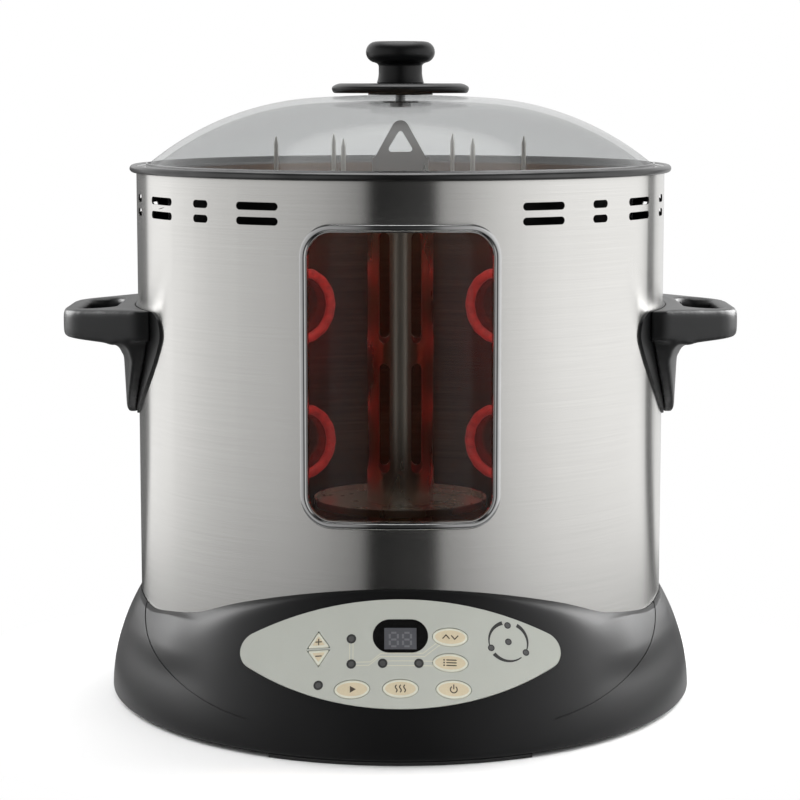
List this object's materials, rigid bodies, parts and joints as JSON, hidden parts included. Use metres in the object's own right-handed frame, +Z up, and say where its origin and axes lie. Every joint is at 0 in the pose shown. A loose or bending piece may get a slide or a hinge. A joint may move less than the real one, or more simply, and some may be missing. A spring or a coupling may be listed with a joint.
{
  "type": "vertical electric grill",
  "caption": "Round countertop grill: steel drum oven with a window, lift-off glass dome lid, turning spit on a geared drive, wall heaters, side handles and a key panel on a flared base.",
  "frame": {"origin": "under the middle of the outline, on the table", "axes": "+Z up along the drum, +X to the right seen from the front, -Y towards the user"},
  "size_m": [0.458, 0.4264, 0.4437],
  "materials": {
    "black_plastic": "satin black moulding",
    "grip_plastic": "fine-grained black phenolic",
    "rubber": "matt",
    "panel_plastic": "satin pale grey",
    "key_plastic": "satin cream",
    "display_black": "gloss black",
    "circuit": "solder mask",
    "steel": "brushed round the drum",
    "rim_steel": "polished",
    "bezel_chrome": "polished",
    "oven_steel": "heat tinted",
    "plain_steel": "plain",
    "gear_nylon": "natural nylon",
    "bronze": "sintered bronze",
    "ceramic": "unglazed",
    "heater_sheath": "oxidised, glowing red in use",
    "window_pane": "clear toughened",
    "lid_pane": "clear toughened",
    "seal_silicone": "silicone"
  },
  "bodies": {
    "base": {"base_housing": "black_plastic", "base_plate": "black_plastic", "front_foot": "rubber", "rear_feet": "rubber", "base_screws": "plain_steel", "control_panel": "panel_plastic", "display_window": "display_black", "led_display": "display_black", "indicator_lights": "key_plastic", "key_circuit": "circuit", "control_board": "circuit", "power_inlet": "black_plastic", "inlet_pins": "plain_steel", "terminal_block": "ceramic", "chassis_plate": "plain_steel", "chassis_screws": "plain_steel", "gear_motor": "plain_steel", "hub_bushes": "bronze", "drip_tray": "oven_steel", "liner": "oven_steel", "liner_posts": "plain_steel", "thermostat": "ceramic", "drum": "steel", "rim_ring": "rim_steel", "window_bezel": "bezel_chrome", "window_seal": "seal_silicone", "window_glass": "window_pane", "inner_glass": "window_pane", "handle_shields": "grip_plastic", "handle_left": "grip_plastic", "handle_right": "grip_plastic", "handle_screws": "plain_steel", "wall_heaters": "heater_sheath", "heater_clips": "oven_steel", "heater_bushings": "ceramic", "center_heater": "heater_sheath", "heater_holder": "ceramic"},
    "lid": {"lid_glass": "lid_pane", "lid_band": "rim_steel", "lid_washers": "seal_silicone", "lid_guard": "grip_plastic", "lid_knob": "grip_plastic", "lid_screw": "plain_steel"},
    "carousel": {"turntable_gear": "gear_nylon", "turntable_hub": "oven_steel", "turntable": "oven_steel", "spit_tube": "oven_steel", "meat_plate": "oven_steel", "spit_crown": "oven_steel", "crown_pins": "oven_steel", "spit_cap": "oven_steel"},
    "drive": {"motor_shaft": "plain_steel", "motor_pinion": "gear_nylon"},
    "key_up": {"key_up": "key_plastic"},
    "key_down": {"key_down": "key_plastic"},
    "key_level": {"key_level": "key_plastic"},
    "key_function": {"key_function": "key_plastic"},
    "key_start": {"key_start": "key_plastic"},
    "key_center_heat": {"key_center_heat": "key_plastic"},
    "key_power": {"key_power": "key_plastic"}
  },
  "joints": [
    {"name": "lid_lift", "type": "slide", "parent": "base", "child": "lid", "axis": [0, 0, 1], "range_m": [0, 0.15]},
    {"name": "carousel_spin", "type": "hinge", "parent": "base", "child": "carousel", "pos_m": [0, 0.01325, 0.095], "axis": [0, 0, 1], "continuous": true},
    {"name": "pinion_spin", "type": "hinge", "parent": "base", "child": "drive", "pos_m": [0.03715, 0.0776, 0.07], "axis": [0, 0, 1], "continuous": true},
    {"name": "key_up_press", "type": "slide", "parent": "base", "child": "key_up", "axis": [0, 0.8949, -0.4462], "range_m": [0, 0.001], "stiffness_N_per_m": 800},
    {"name": "key_down_press", "type": "slide", "parent": "base", "child": "key_down", "axis": [0, 0.8949, -0.4462], "range_m": [0, 0.001], "stiffness_N_per_m": 800},
    {"name": "key_level_press", "type": "slide", "parent": "base", "child": "key_level", "axis": [0, 0.8949, -0.4462], "range_m": [0, 0.001], "stiffness_N_per_m": 800},
    {"name": "key_function_press", "type": "slide", "parent": "base", "child": "key_function", "axis": [0, 0.8949, -0.4462], "range_m": [0, 0.001], "stiffness_N_per_m": 800},
    {"name": "key_start_press", "type": "slide", "parent": "base", "child": "key_start", "axis": [0, 0.8949, -0.4462], "range_m": [0, 0.001], "stiffness_N_per_m": 800},
    {"name": "key_center_heat_press", "type": "slide", "parent": "base", "child": "key_center_heat", "axis": [0, 0.8949, -0.4462], "range_m": [0, 0.001], "stiffness_N_per_m": 800},
    {"name": "key_power_press", "type": "slide", "parent": "base", "child": "key_power", "axis": [0, 0.8949, -0.4462], "range_m": [0, 0.001], "stiffness_N_per_m": 800}
  ],
  "couplings": [
    {"joint": "pinion_spin", "follows": "carousel_spin", "ratio": -4.2857}
  ]
}
